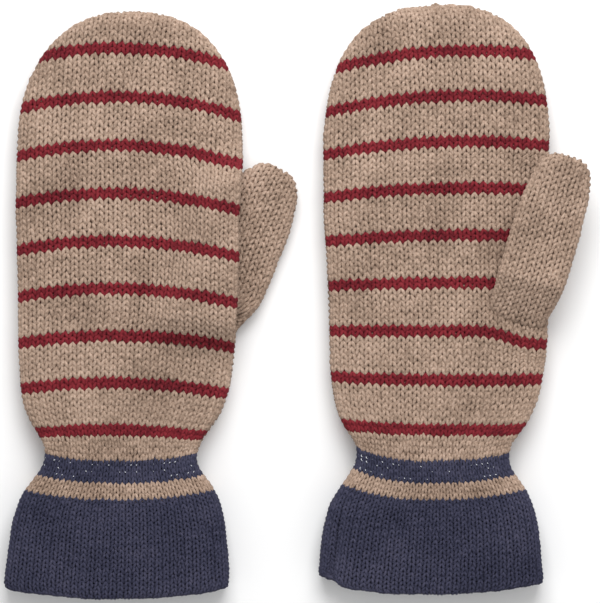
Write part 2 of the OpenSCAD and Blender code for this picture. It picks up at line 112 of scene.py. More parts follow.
# The hand's outline and thickness
WRIST_Y = -70.1
HAND_HALF_W = 50.0
SHOULDER_HALF_W = 52.0
SHOULDER_Y = 137.1
HAND_THICK = 15.0
WRIST_THICK = 17.0
EDGE_POWER = 6.0
FLAT_REST = 1.06
WAIST_DEPTH = 14.5
WAIST_REACH = 16.0
FLARE_REACH = 15.5
WAIST_POWER = 2.4
HAND_START = 40.0
HIP_END = 110.0
TIP_STOP = 0.12

# The cuff
MOUTH_THICK = 18.0
CUFF_HALF_W = 52.5
CUFF_BOW = 4.8
LONGEST_CUFF_LOW = MITTENS[0].cuff_low
HEM_H = 4.0
HEM_ROUNDNESS = 0.7
CUFF_WALL = 2.6
FACING_WALL = 2.0
FACING_GAP = 0.6

# The stripes and bands
STRIPE_H = 5.0
STRIPE_LOW = 12.1
LOWEST_STRIPE = 8
FOLDING_STRIPE = 2
GATHER_HIGH = STRIPE_LOW - STRIPE_H / 2
GATHER_LOW = -2.3
BAND_LOW = -12.3
CUFF_STRIPE_LOW = -19.7
BOW_REACH = 50.0
RISE_POWER = 2.5

# The thumb and the palm around it
THUMB_ROOT_HALF_W = 14.4
THUMB_THICK = 10.0
THUMB_WIDEST = 30.0
THUMB_EDGE_POWER = 3.0
ROOT_LEN = 14.0
ROOT_REACH = 19.0
ROOT_GAP = 0.6
RIM_TUCK = 1.5
RIM_POWER = 4
PALM_EDGE = 0.97
MOUTH_RIM = 1.5
DIP_ACROSS = (18.0, 46.0)
DIP_ALONG = (40.0, 54.0, 66.0, 90.0)
THUMB_LIFT = 10.8
LIFT_RAMP = 24.0
LIFT_ALONG = (48.0, 68.0, 128.0, 150.0)

# Where each joint's span starts and ends: from the fold, the wrist and the palm
FOLD_SPAN = (-15.0, 17.0)
WRIST_SPAN = (9.0, -15.0)
THUMB_SPAN = (8.0, 31.0)

# ---- the knitting, in millimetres ----

FLECK = 0.13
HAND_WALE = 3.92
CUFF_WALE = 3.55
CUFF_COUNT_Y = 5.0
LOOP_POINTS = 12
YARN_SIDES = 6
EDGE_KEEP = 0.12
LENGTHWISE_SCATTER = 1.6
THICKNESS_SCATTER = 0.05
SLOW_RELIEF = 0.22
FINE_RELIEF = 0.08
WAVE_SPREAD = (0.6, 1.8)

# The rows and columns of the surfaces that the yarn follows
GRID_COLUMNS = 96
SECTION_STEPS = 60
ROW_STEP = 1.0
PANEL_START = -2.0
PANEL_TIP = 12.0
PANEL_TIP_ROWS = 28
WRIST_ROWS = (-26.0, 18.0)
HEM_ROWS = 10
CUFF_OVERRUN = 3.5
ROOT_ROWS = 16
THUMB_TIP = 9.0
THUMB_TIP_ROWS = 22

# The gathers above the wrist and the ribs of the cuff
PUCKER_SEED = 5
PUCKER_SIZE = 9.0
PUCKER_STRETCH = 0.3
PUCKER_DEPTH = 0.5
PUCKER_REACH = 8.0
RIB_DEPTH = 0.35
RIB_SHARPNESS = 4

# How a piece's bake map is shared out, and how large wool grows on a backing
SHEET_STRIPS = 4
SHEET_UV_SCALE = 40.0
STRIP_FILL = 0.86

# ---- the linked seams, in millimetres ----

SEAM_INSET = 1.6
SEAM_PITCH = 2.9
SEAM_RADIUS = 0.95
SEAM_YARN = 0.62
SEAM_TURN_POINTS = 12
SIDE_SEAM_ROWS = 80
TIP_SEAM_ROWS = 90
THUMB_CLOSING = 18.0
THUMB_CLOSING_ROWS = 40

# ---- the crease along one side of a cuff, in millimetres and in shares of the thickness ----

CREASE_X = 20.4
CREASE_TOP = -86.0
CREASE_LEAN = 0.156
CREASE_LENGTH = 46.0
CREASE_HALF_W = 1.3
CREASE_GROOVE = 0.34
CREASE_SIDE = 0.2
HEM_RISE = 3.6
HEM_CORNER = 4.5

# ---- the elastic threads, in millimetres and in faces across ----

GLINT_SEED = 60
GLINT_LEVELS = (-10.2, -7.3, -4.4)
GLINT_STEP = 0.0012
GLINT_DEPTH = 2.2
GLINT_RADIUS = 0.17
GLINT_SHORTNESS = 14
GLINT_RARITY = 2.2
GLINT_EDGE_REACH = 0.04

# ---- the studio, in metres and watts ----

FLOOR_SIZE = 6.0
FLOOR_Z = -0.0006
FLOOR_WHITE = 0.94
SKY = 0.56
CAMERA_HEIGHT = 2.0
CAMERA_MIDDLE = 0.0005
VIEW_LEVEL = 0.012
VIEW_WIDTH = 0.2756


def clamp01(x):
    return np.clip(x, 0.0, 1.0)


def smooth(x):
    x = clamp01(x)
    return x * x * (3 - 2 * x)


def mix(a, b, t):
    return a + (b - a) * t


# ---- the mittens' form ----


def half_width(m, y, inset=0.0):
    """Half the width of a mitten at y, which narrows at the wrist and rounds off at the tip."""
    straight = np.where(y > 0, mix(HAND_HALF_W, SHOULDER_HALF_W, clamp01(y / SHOULDER_Y)),
                        mix(HAND_HALF_W, CUFF_HALF_W, clamp01(y / (m.cuff_low + CUFF_BOW))))
    reach = np.where(y > 0, WAIST_REACH, FLARE_REACH)
    waist = WAIST_DEPTH / (1 + (np.abs(y) / reach) ** WAIST_POWER)
    rounding = clamp01((y - SHOULDER_Y) / (m.tip_y - inset - SHOULDER_Y))
    return (straight - waist - inset) * (1 - rounding ** m.tip_power) ** (1 / m.tip_power)


def droop(m, v, u):
    """How far the course at level v hangs below that level, at u across."""
    arch = mix(m.low_arch, m.arch, v / m.tip_y)
    bow = ((u - m.arch_peak) / BOW_REACH) ** 2 - (m.arch_peak / BOW_REACH) ** 2
    on_hand = arch * smooth(v / STRIPE_LOW) * bow
    on_cuff = -CUFF_BOW * v / m.cuff_low * (u / BOW_REACH) ** 2
    return np.where(v > 0, on_hand, on_cuff)


def dip(m, face, v, u):
    """How much further a course of the palm hangs down under the thumb."""
    if face == m.back or not m.thumb_dip:
        return 0.0
    start, full = DIP_ACROSS
    low, high, fall, end = DIP_ALONG
    along = smooth((v - low) / (high - low)) * (1 - smooth((v - fall) / (end - fall)))
    return m.thumb_dip * smooth((u - start) / (full - start)) * along


def rise(m, v, f):
    """How far the wrist's course at level v rises above that level, at share f of the half width."""
    above = (v - GATHER_LOW) / (GATHER_HIGH - GATHER_LOW)
    below = (CUFF_STRIPE_LOW - v) / (CUFF_STRIPE_LOW - m.cuff_low)
    at_edge = np.where(f < 0, m.rise_left, m.rise_right)
    return at_edge * np.abs(f) ** RISE_POWER * (1 - smooth(above)) * (1 - smooth(below))


def course_reach(m, v, hand, inset=0.0, face=0):
    """Half width where the course at level v meets an edge. hand is -1 for the left, 1 for the right."""
    u = hand * half_width(m, v, inset)
    sunk = dip(m, face, v, u) if face else 0.0
    return half_width(m, v - droop(m, v, u) - sunk + rise(m, v, hand), inset)


def thickness(v):
    hand = mix(WRIST_THICK, HAND_THICK, smooth(v / HAND_START))
    return np.where(v > 0, hand, mix(WRIST_THICK, MOUTH_THICK, v / LONGEST_CUFF_LOW))


def half_thickness(m, v, inset=0.0):
    """Half the thickness at level v, rounded off at the fingertips."""
    half = thickness(v) / 2 - inset
    left_over = clamp01((m.tip_y - inset - v) / half)
    return half * np.sqrt(1 - (1 - left_over) ** 2)


def lift(m, u, v):
    """Height by which a hand rises over the thumb that lies folded under it."""
    if m.thumb_floor > 0:
        return np.zeros(np.broadcast(u, v).shape)
    inner_edge = m.thumb_u - THUMB_ROOT_HALF_W + m.thumb_slope * (v - m.thumb_y)
    start, full, fall, end = LIFT_ALONG
    along = smooth((v - start) / (full - start)) * (1 - smooth((v - fall) / (end - fall)))
    return THUMB_LIFT * smooth((u - inner_edge + LIFT_RAMP) / LIFT_RAMP) * along


def place(m, u, y, z):
    """The point of the shared frame at u across, y above the wrist and height z."""
    t = clamp01(y / HIP_END)
    sway = m.lean * y + m.hip * 4 * t * (1 - t)
    return np.stack(np.broadcast_arrays(m.wrist_x + sway + u, WRIST_Y + y, z), axis=-1)


def face_rows(m, face, levels, insets=0.0):
    """Rows of points on one face of a mitten, from one side edge to the other."""
    f = -face * np.sin(np.linspace(-np.pi / 2, np.pi / 2, 2 * SECTION_STEPS + 1))[None, :]
    v = np.asarray(levels, float)[:, None]
    inset = np.broadcast_to(np.asarray(insets, float), (len(levels),))[:, None]
    reach = np.where(f < 0, course_reach(m, v, -1, inset, face), course_reach(m, v, 1, inset, face))
    u = f * reach
    middle = thickness(v) / 2
    bulge = half_thickness(m, v, inset) * clamp01(1 - np.abs(f) ** EDGE_POWER) ** (1 / EDGE_POWER)
    low = np.maximum(inset, middle - FLAT_REST * bulge)
    z = middle + bulge if face == TOP else low
    y = v - droop(m, v, u) - dip(m, face, v, u) + rise(m, v, f)
    return place(m, u, y, z + lift(m, u, v))


def stripe_y(m, i):
    """The middle of stripe i, counted down from the fingertips."""
    share = i / LOWEST_STRIPE
    return mix(m.stripe_top, STRIPE_LOW, share) + m.stripe_drift * 4 * share * (1 - share)


def thumb_slope(m, q):
    return m.thumb_slope + m.thumb_curl * q


def thumb_width(m, q):
    """Half the width of the thumb at q along its middle line."""
    below = (1 - np.minimum(q, THUMB_WIDEST) / THUMB_WIDEST) ** 2
    share = clamp01((q - THUMB_WIDEST) / (m.thumb_len - THUMB_WIDEST))
    above = (1 - share ** m.thumb_tip_power) ** (1 / m.thumb_tip_power)
    return np.where(q < THUMB_WIDEST, mix(m.thumb_half_w, THUMB_ROOT_HALF_W, below),
                    m.thumb_half_w * above)


def by_thumb(m, q, across, z):
    """A point near the thumb: q along its middle line, across to its right, at height z."""
    slope = thumb_slope(m, q)
    size = np.sqrt(1 + slope * slope)
    u = m.thumb_u + q * thumb_slope(m, q / 2)
    return place(m, u + across / size, m.thumb_y + q - across * slope / size, z)


def rounded(x):
    """Turns a sine or cosine into the same place on the thumb's squarer section."""
    return np.sign(x) * np.abs(x) ** (2 / THUMB_EDGE_POWER)


def palm_height(m, u, y):
    """Height of the palm's outer face, on which the thumb's root stands."""
    f = np.minimum(PALM_EDGE, np.abs(u) / half_width(m, y))
    bulge = half_thickness(m, y) * (1 - f ** EDGE_POWER) ** (1 / EDGE_POWER)
    if m.thumb_floor > 0:
        return thickness(y) / 2 + bulge
    return lift(m, u, y) + np.maximum(0, thickness(y) / 2 - FLAT_REST * bulge)


def root_row(m, turn, angles):
    """One ring of the thumb's root, which turns from the palm, at 0, to the thumb, at 90 degrees."""
    c = np.cos(np.radians(turn))
    turned = 1 - c
    above = m.thumb_floor > 0
    q = mix(ROOT_LEN / 2, ROOT_REACH, turned)
    w = mix(THUMB_ROOT_HALF_W, thumb_width(m, ROOT_REACH), turned)
    h = THUMB_THICK / 2
    q_here = q + (-1 if above else 1) * ROOT_LEN / 2 * c * rounded(np.sin(angles))
    ring = by_thumb(m, q_here, w * rounded(np.cos(angles)), 0.0)
    y = ring[:, 1] - WRIST_Y
    u = ring[:, 0] - place(m, 0.0, y, 0.0)[:, 0]
    beyond_hand = np.maximum(0.0, u - half_width(m, y) + RIM_TUCK) * c ** RIM_POWER
    ring[:, 0] -= beyond_hand
    u = u - beyond_hand
    if above:
        on_palm = palm_height(m, u, y) + ROOT_GAP
        lowest = mix(on_palm, m.thumb_floor, turned)
        ring[:, 2] = lowest + h * turned * (1 + rounded(np.sin(angles)))
    else:
        on_palm = palm_height(m, u, y) - ROOT_GAP
        ring[:, 2] = mix(on_palm, m.thumb_floor + h * (1 + rounded(np.sin(angles))), turned)
    return ring


def thumb_row(m, q, angles):
    """One ring of the thumb at q along its middle line."""
    w = thumb_width(m, min(q, m.thumb_len - TIP_STOP))
    half = THUMB_THICK / 2
    h = half * np.sqrt(1 - (1 - clamp01((m.thumb_len - q) / half)) ** 2)
    return by_thumb(m, q, w * rounded(np.cos(angles)),
                    m.thumb_floor + half + h * rounded(np.sin(angles)))


# ---- surfaces that yarn follows ----


def even_columns(row, count):
    """The same line of points, resampled to count + 1 points evenly spaced along it."""
    along = np.concatenate(([0.0], np.cumsum(np.linalg.norm(np.diff(row, axis=0), axis=1))))
    wanted = np.linspace(0.0, along[-1], count + 1)
    return np.stack([np.interp(wanted, along, row[:, k]) for k in range(3)], axis=1)


class Surface:
    """An outer face of the knitting: rows of points along the knitting, columns across it.

    A flat piece has one face. A tube has two, which its side edges join.
    From straight_from on, the wales run straight to the outline instead of narrowing with it.
    top is the furthest that the face reaches towards the fingertips."""

    def __init__(self, levels, faces, straight_from=None):
        self.levels = np.asarray(levels, float)
        self.faces = len(faces)
        self.closed = self.faces > 1
        grids = [np.stack([even_columns(row, GRID_COLUMNS) for row in rows]) for rows in faces]
        self.widths = np.linalg.norm(np.diff(grids[0], axis=1), axis=2).sum(axis=1)
        middle = grids[0][:, GRID_COLUMNS // 2]
        steps = np.linalg.norm(np.diff(middle, axis=0), axis=1)
        self.along_rows = np.concatenate(([0.0], np.cumsum(steps)))
        if self.closed:
            self.grid = np.concatenate([g[:, :-1] for g in grids], axis=1)
        else:
            self.grid = grids[0]
        self.normals = self._normals()
        self.straight_from = straight_from
        self.top = self.grid[..., 1].max()

    def _normals(self):
        up = np.gradient(self.grid, axis=0)
        if self.closed:
            across = np.roll(self.grid, -1, axis=1) - np.roll(self.grid, 1, axis=1)
        else:
            across = np.gradient(self.grid, axis=1)
        n = np.cross(up, across)
        size = np.linalg.norm(n, axis=2, keepdims=True)
        return n / np.maximum(size, TINY)

    def along(self, level):
        """Distance along the knitting at which a level lies."""
        return np.interp(level, self.levels, self.along_rows)

    def width(self, along):
        return np.interp(along, self.along_rows, self.widths)

    def spread(self, along):
        """How much wider than the columns a face was where its wales run straight on to its outline."""
        if self.straight_from is None:
            return np.ones(np.shape(along))
        start = self.along(self.straight_from)
        return np.where(along > start, self.width(start) / np.maximum(self.width(along), THINNEST), 1.0)

    def at(self, share, along):
        """Points and normals at shares across, 0 to 1 for each face, and distances along."""
        rows = len(self.along_rows)
        row = np.clip(np.interp(along, self.along_rows, np.arange(rows)), 0, rows - LAST_CELL)
        column = share * GRID_COLUMNS
        count = self.grid.shape[1]
        r0 = np.floor(row).astype(int)
        if self.closed:
            c0 = np.floor(column).astype(int)
            fc = column - c0
            c0, c1 = c0 % count, (c0 + 1) % count
        else:
            column = np.clip(column, 0, count - LAST_CELL)
            c0 = np.floor(column).astype(int)
            fc = column - c0
            c1 = c0 + 1
        fr = (row - r0)[:, None]
        fc = fc[:, None]

        def between(a):
            low = mix(a[r0, c0], a[r0, c1], fc)
            return mix(low, mix(a[r0 + 1, c0], a[r0 + 1, c1], fc), fr)

        n = between(self.normals)
        return between(self.grid), n / np.maximum(np.linalg.norm(n, axis=1, keepdims=True), TINY)


# ---- yarn ----


class Piece:
    """Collects tubes of yarn and backings, and makes one mesh of them.

    In the bake map, each tube fills one strip and each backing fills SHEET_STRIPS of them."""

    def __init__(self, name):
        self.name = name
        self.tubes = []
        self.sheets = []

    def tube(self, points, normals, radius, closed=False):
        self.tubes.append((points, normals, np.broadcast_to(radius, (len(points),)), closed))

    def sheet(self, grid, skipped=None):
        self.sheets.append((grid, skipped))

    def build(self, material):
        verts, quads, bake, yarn = [], [], [], []
        start = 0
        strips = len(self.tubes) + SHEET_STRIPS * len(self.sheets)
        strip = 0
        for points, normals, radius, closed in self.tubes:
            ring, uv_bake, uv_yarn, faces = tube_mesh(points, normals, radius, closed)
            verts.append(ring)
            quads.append(faces + start)
            uv_bake[..., 1] = (strip + uv_bake[..., 1]) / strips
            bake.append(uv_bake)
            yarn.append(uv_yarn)
            start += len(ring)
            strip += 1
        for grid, skipped in self.sheets:
            points, uv, faces = sheet_mesh(grid, skipped)
            verts.append(points)
            quads.append(faces + start)
            flat = uv.copy()
            flat[..., 1] = (strip + uv[..., 1] * SHEET_STRIPS * STRIP_FILL) / strips
            bake.append(flat)
            yarn.append(uv * SHEET_UV_SCALE)
            start += len(points)
            strip += SHEET_STRIPS
        return mesh_object(self.name, np.concatenate(verts), np.concatenate(quads),
                           np.concatenate(bake), np.concatenate(yarn), material)


def tube_mesh(points, normals, radius, closed):
    """A tube of YARN_SIDES sides along points, with both of its UV maps."""
    if closed:
        tangent = np.roll(points, -1, axis=0) - np.roll(points, 1, axis=0)
    else:
        tangent = np.gradient(points, axis=0)
    tangent /= np.maximum(np.linalg.norm(tangent, axis=1, keepdims=True), TINY)
    side = np.cross(tangent, normals)
    side /= np.maximum(np.linalg.norm(side, axis=1, keepdims=True), TINY)
    up = np.cross(side, tangent)
    angles = TAU * np.arange(YARN_SIDES) / YARN_SIDES
    ring = (points[:, None, :] + radius[:, None, None]
            * (np.cos(angles)[None, :, None] * side[:, None, :]
               + np.sin(angles)[None, :, None] * up[:, None, :])).reshape(-1, 3)
    count = len(points)
    spans = count if closed else count - 1
    i = np.arange(spans)[:, None]
    k = np.arange(YARN_SIDES)[None, :]
    i_next = (i + 1) % count
    k_next = (k + 1) % YARN_SIDES
    faces = np.stack([i * YARN_SIDES + k, i_next * YARN_SIDES + k,
                      i_next * YARN_SIDES + k_next, i * YARN_SIDES + k_next], axis=-1).reshape(-1, 4)
    steps = np.linalg.norm(np.roll(points, -1, axis=0) - points, axis=1)
    length = np.concatenate(([0.0], np.cumsum(steps)))
    i = i.ravel()
    corners_i = np.stack([i, i + 1, i + 1, i], axis=-1)[:, None, :]
    k = k.ravel()
    corners_k = np.stack([k, k, k + 1, k + 1], axis=-1)[None, :, :]
    around = np.broadcast_to(corners_k / YARN_SIDES, (spans, YARN_SIDES, 4))
    run = np.broadcast_to(corners_i, (spans, YARN_SIDES, 4))
    uv_bake = np.stack([run / spans, around * STRIP_FILL], axis=-1).reshape(-1, 4, 2)
    uv_yarn = np.stack([length[run], around], axis=-1).reshape(-1, 4, 2)
    return ring, uv_bake, uv_yarn, faces


def sheet_mesh(grid, skipped):
    """A mesh of a grid of points, without the faces that are skipped."""
    rows, cols = grid.shape[:2]
    r, c = np.meshgrid(np.arange(rows - 1), np.arange(cols - 1), indexing="ij")
    faces = np.stack([r * cols + c, r * cols + c + 1, (r + 1) * cols + c + 1, (r + 1) * cols + c],
                     axis=-1)
    u = np.stack([c, c + 1, c + 1, c], axis=-1) / (cols - 1)
    v = np.stack([r, r, r + 1, r + 1], axis=-1) / (rows - 1)
    uv = np.stack([u, v], axis=-1)
    if skipped is not None:
        faces = faces[~skipped]
        uv = uv[~skipped]
    return grid.reshape(-1, 3), uv.reshape(-1, 4, 2), faces.reshape(-1, 4)


def mesh_object(name, verts, quads, bake, yarn, material):
    """An object with one material, a map for baking and a map that runs along the yarn."""
    mesh = bpy.data.meshes.new(name)
    mesh.vertices.add(len(verts))
    mesh.vertices.foreach_set("co", (verts * MM).astype(np.float32).ravel())
    mesh.loops.add(quads.size)
    mesh.loops.foreach_set("vertex_index", quads.astype(np.int32).ravel())
    mesh.polygons.add(len(quads))
    mesh.polygons.foreach_set("loop_start", np.arange(0, quads.size, 4, dtype=np.int32))
    mesh.polygons.foreach_set("use_smooth", np.ones(len(quads), dtype=bool))
    for layer, values in (("OFBake", bake), ("Yarn", yarn)):
        uv = mesh.uv_layers.new(name=layer)
        uv.data.foreach_set("uv", values.astype(np.float32).ravel())
    mesh.materials.append(material)
    mesh.update(calc_edges=True)
    obj = bpy.data.objects.new(name, mesh)
    bpy.context.scene.collection.objects.link(obj)
    return obj


class Ripple:
    """Slow, seeded unevenness of handled knitting, between about -1 and 1."""

    def __init__(self, seed, wavelength, waves=7):
        rng = np.random.default_rng(seed)
        angle = rng.uniform(0, TAU, waves)
        size = TAU / (wavelength * rng.uniform(*WAVE_SPREAD, waves))
        self.kx, self.ky = size * np.cos(angle), size * np.sin(angle)
        self.phase = rng.uniform(0, TAU, waves)

    def __call__(self, x, y):
        total = sum(np.sin(kx * x + ky * y + p) for kx, ky, p in zip(self.kx, self.ky, self.phase))
        return total / np.sqrt(len(self.phase))


SLOW = Ripple(1, 26.0)
FINE = Ripple(2, 7.0)


@dataclass
class Stitch:
    """How one kind of knitting looks, in millimetres and in shares of a wale or a course."""

    yarn: float  # radius of the yarn
    depth: float  # how far the loops weave in and out
    overlap: float  # loop height, in courses
    slant: float  # how far the legs of a loop lean, in wales
    course: float  # height of a course, before whole courses are made to fill a band
    backing: float  # depth of the matted inner side
    backing_step: float = 2.5  # distance between the backing's rows
    uneven: float = 0.05  # scatter of the loops, in wales


HAND_STITCH = Stitch(yarn=0.9, depth=0.8, overlap=1.7, slant=0.24, course=2.9, backing=2.7)
GATHER_STITCH = Stitch(yarn=0.8, depth=1.0, overlap=1.8, slant=0.22, course=3.3, backing=2.4, uneven=0.09)
BAND_STITCH = Stitch(yarn=0.68, depth=0.6, overlap=1.75, slant=0.2, course=2.5, backing=2.4)
CUFF_STITCH = Stitch(yarn=0.72, depth=0.6, overlap=1.75, slant=0.22, course=2.09, backing=2.0)
FACING_STITCH = Stitch(yarn=0.72, depth=0.3, overlap=1.9, slant=0.2, course=2.09, backing=1.7)
THUMB_STITCH = Stitch(yarn=0.86, depth=0.7, overlap=1.7, slant=0.24, course=2.85, backing=2.2,
                      backing_step=1.5)


def kept_runs(surface, centre, wales, masked):
    """Runs of the loops of a course that lie inside the outline and outside the mask."""
    total = wales * surface.faces
    middles = (np.arange(total) + 0.5) / wales
    keep = np.ones(total, bool)
    if not surface.closed:
        spread = float(surface.spread(np.array(centre)))
        keep = np.abs((middles - 0.5) * spread) < 0.5 - EDGE_KEEP * spread / wales
    if masked is not None:
        points, _ = surface.at(middles, np.full(total, centre))
        keep &= ~masked(points)
    edges = np.flatnonzero(np.diff(np.concatenate(([0], keep.astype(int), [0]))))
    return list(zip(edges[::2], edges[1::2]))


def knit(piece, surface, centres, course, wales, stitch, seed, relief, masked):
    """Adds courses of loops at the distances centres along a surface. wales counts one face's.

    t counts loops along a course. In each one, the yarn goes up and down once, while it sways
    sideways and weaves in and out twice. relief sinks the loops, and a mask leaves some out."""
    rng = np.random.default_rng(seed)
    total = wales * surface.faces
    for centre in centres:
        scatter = rng.normal(0.0, 1.0, (3, total + 2))
        for start, end in kept_runs(surface, centre, wales, masked):
            closed = surface.closed and end - start == total
            count = (end - start) * LOOP_POINTS + (0 if closed else 1)
            t = start + np.arange(count) / LOOP_POINTS
            jitter = [np.interp(t, np.arange(total + 2) - 0.5, row) for row in scatter]
            if closed:
                jitter = [j * np.minimum(1, np.minimum(t, total - t)) for j in jitter]
            sideways, lengthwise, thicker = jitter
            along = centre - stitch.overlap * course / 2 * np.cos(TAU * t)
            along = along + course * stitch.uneven * LENGTHWISE_SCATTER * lengthwise
            share = (t + stitch.slant * np.sin(2 * TAU * t) + stitch.uneven * sideways) / wales
            if not surface.closed:
                share = clamp01(0.5 + (share - 0.5) * surface.spread(along))
            points, normals = surface.at(share, along)
            depth = -stitch.yarn - stitch.depth * (1 + np.cos(2 * TAU * t))
            depth = depth + FINE_RELIEF * FINE(points[:, 0], points[:, 1])
            depth = depth + SLOW_RELIEF * SLOW(points[:, 0], points[:, 1])
            if relief is not None:
                depth = depth + relief(t, along, points)
            points = points + normals * depth[:, None]
            points[:, 1] = np.minimum(points[:, 1], surface.top - stitch.yarn)
            piece.tube(points, normals, stitch.yarn * (1 + THICKNESS_SCATTER * thicker), closed)


def back_up(piece, surface, low, high, stitch, masked):
    """Adds the matted inner side of the knitting, which closes the gaps between the loops."""
    rows = max(3, int((high - low) / stitch.backing_step) + 2)
    along = np.linspace(low, high, rows)
    share = np.linspace(0, surface.faces, surface.faces * GRID_COLUMNS // 2 + 1)
    a, s = np.meshgrid(along, share, indexing="ij")
    points, normals = surface.at(s.ravel(), a.ravel())
    grid = (points - stitch.backing * normals).reshape(rows, len(share), 3)
    skipped = None
    if masked is not None:
        middle = (grid[:-1, :-1] + grid[1:, 1:]) / 2
        skipped = masked(middle.reshape(-1, 3)).reshape(rows - 1, len(share) - 1)
    piece.sheet(grid, skipped)


def knit_band(piece, surface, low, high, wales, stitch, seed, relief=None, masked=None):
    """Fills a band, between two distances along a surface, with whole courses and their backing."""
    count = max(1, round((high - low) / stitch.course))
    course = (high - low) / count
    centres = low + course * (np.arange(count) + 0.5)
    knit(piece, surface, centres, course, wales, stitch, seed, relief, masked)
    back_up(piece, surface, low, high, stitch, masked)


# ---- materials ----


def node(tree, kind, **values):
    """Adds a node. Each value sets the input of that name, or else the node's own setting."""
    made = tree.nodes.new(kind)
    for key, value in values.items():
        if key in made.inputs:
            made.inputs[key].default_value = value
        else:
            setattr(made, key, value)
    return made


def wool(name, light, middle, dark, sheen):
    """Spun wool: flecked colour along the fibres, twisted plies and a soft sheen."""
    material = bpy.data.materials.new(name)
    material.use_nodes = True
    tree = material.node_tree
    shader = tree.nodes["Principled BSDF"]
    shader.inputs["Roughness"].default_value = 0.92
    shader.inputs["Specular IOR Level"].default_value = 0.18
    shader.inputs["Sheen Weight"].default_value = sheen
    shader.inputs["Sheen Roughness"].default_value = 0.55
    shader.inputs["Sheen Tint"].default_value = (*light, 1.0)
    link = tree.links.new

    # Noise along the fibres, in single flecks and in larger patches
    where = node(tree, "ShaderNodeTexCoord")
    yarn = node(tree, "ShaderNodeUVMap", uv_map="Yarn")
    fibres = node(tree, "ShaderNodeMapping")
    fibres.inputs["Scale"].default_value = (0.9, 7.0, 1.0)
    link(yarn.outputs["UV"], fibres.inputs["Vector"])
    strands = node(tree, "ShaderNodeTexNoise", Scale=1.6, Detail=3.0, Roughness=0.6)
    link(fibres.outputs["Vector"], strands.inputs["Vector"])
    flecks = node(tree, "ShaderNodeTexNoise", Scale=520.0, Detail=3.0, Roughness=0.65)
    link(where.outputs["Object"], flecks.inputs["Vector"])
    patches = node(tree, "ShaderNodeTexNoise", Scale=45.0, Detail=2.0)
    link(where.outputs["Object"], patches.inputs["Vector"])

    # Colour, from dark through middle to light
    both = node(tree, "ShaderNodeMix", data_type="FLOAT")
    both.inputs[0].default_value = 0.5
    link(strands.outputs["Fac"], both.inputs[2])
    link(flecks.outputs["Fac"], both.inputs[3])
    shifted = node(tree, "ShaderNodeMix", data_type="FLOAT")
    shifted.inputs[0].default_value = 0.22
    link(both.outputs[0], shifted.inputs[2])
    link(patches.outputs["Fac"], shifted.inputs[3])
    ramp = node(tree, "ShaderNodeValToRGB")
    ramp.color_ramp.elements[0].position = 0.5 - FLECK
    ramp.color_ramp.elements[0].color = (*dark, 1.0)
    ramp.color_ramp.elements[1].position = 0.5 + FLECK
    ramp.color_ramp.elements[1].color = (*light, 1.0)
    centre = ramp.color_ramp.elements.new(0.5)
    centre.color = (*middle, 1.0)
    link(shifted.outputs[0], ramp.inputs["Fac"])
    link(ramp.outputs["Color"], shader.inputs["Base Color"])

    # Relief of the twisted plies and the fibres
    twist = node(tree, "ShaderNodeMapping")
    twist.inputs["Scale"].default_value = (0.42, 1.0, 1.0)
    link(yarn.outputs["UV"], twist.inputs["Vector"])
    plies = node(tree, "ShaderNodeTexWave", Scale=1.0, Distortion=0.6, Detail=1.0)
    plies.bands_direction = "DIAGONAL"
    link(twist.outputs["Vector"], plies.inputs["Vector"])
    height = node(tree, "ShaderNodeMix", data_type="FLOAT")
    height.inputs[0].default_value = 0.6
    link(plies.outputs["Fac"], height.inputs[2])
    link(strands.outputs["Fac"], height.inputs[3])
    bump = node(tree, "ShaderNodeBump", Strength=0.55, Distance=0.0004)
    link(height.outputs[0], bump.inputs["Height"])
    link(bump.outputs["Normal"], shader.inputs["Normal"])
    return material


def clear_elastic():
    """Elastic thread, glossy, whose grey to near-white colour is painted glint: it stands in for the light
    a clear thread catches, brighter and dimmer at random along its length.
    """
    material = bpy.data.materials.new("elastic_thread_painted_glints")
    material.use_nodes = True
    tree = material.node_tree
    shader = tree.nodes["Principled BSDF"]
    shader.inputs["Roughness"].default_value = 0.2
    shader.inputs["IOR"].default_value = 1.5
    where = node(tree, "ShaderNodeTexCoord")
    painted_glint_noise = node(tree, "ShaderNodeTexNoise", Scale=300.0, Detail=2.0)
    tree.links.new(where.outputs["Object"], painted_glint_noise.inputs["Vector"])
    # Painted glint: the grey to near-white colours stand in for light caught by the clear thread
    ramp = node(tree, "ShaderNodeValToRGB")
    ramp.color_ramp.elements[0].color = (0.55, 0.58, 0.64, 1.0)
    ramp.color_ramp.elements[1].color = (0.92, 0.93, 0.95, 1.0)
    tree.links.new(painted_glint_noise.outputs["Fac"], ramp.inputs["Fac"])
    tree.links.new(ramp.outputs["Color"], shader.inputs["Base Color"])
    return material


@dataclass
class Yarn:
    """A yarn's material, and the name of a material slot, which is not used."""

    material: bpy.types.Material
    slot: str


SAND = Yarn(wool("sand_knit", (0.545, 0.4, 0.315), (0.36, 0.256, 0.193), (0.165, 0.108, 0.078), 0.2),
            "sand_wool")
BURGUNDY = Yarn(wool("burgundy_knit", (0.26, 0.029, 0.038), (0.168, 0.0145, 0.0215),
                     (0.062, 0.006, 0.01), 0.08), "burgundy_wool")
NAVY = Yarn(wool("navy_knit", (0.074, 0.071, 0.113), (0.042, 0.043, 0.076), (0.016, 0.017, 0.035), 0.1),
            "navy_wool")
SEAM = Yarn(wool("seam_knit", (0.44, 0.33, 0.25), (0.3, 0.215, 0.16), (0.15, 0.105, 0.075), 0.15),
            "seam_thread")
# The elastic's near-white colour is painted glint on a clear thread
ELASTIC = Yarn(clear_elastic(), "clear_elastic")


# ---- the parts of a mitten ----


def name_of(m, part):
    return f"{m.name}_{part}"


def add(piece, m, part, yarn, bodies, span=None):
    """Makes the piece's object, ties it to its first body when no span is given, else only fixes its
    transform in place, and hides its CAD node.
    """
    obj = piece.build(yarn.material)
    if span is None:
        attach(obj, name_of(m, bodies[0]))
    else:
        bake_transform(obj)
    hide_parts(name_of(m, part))


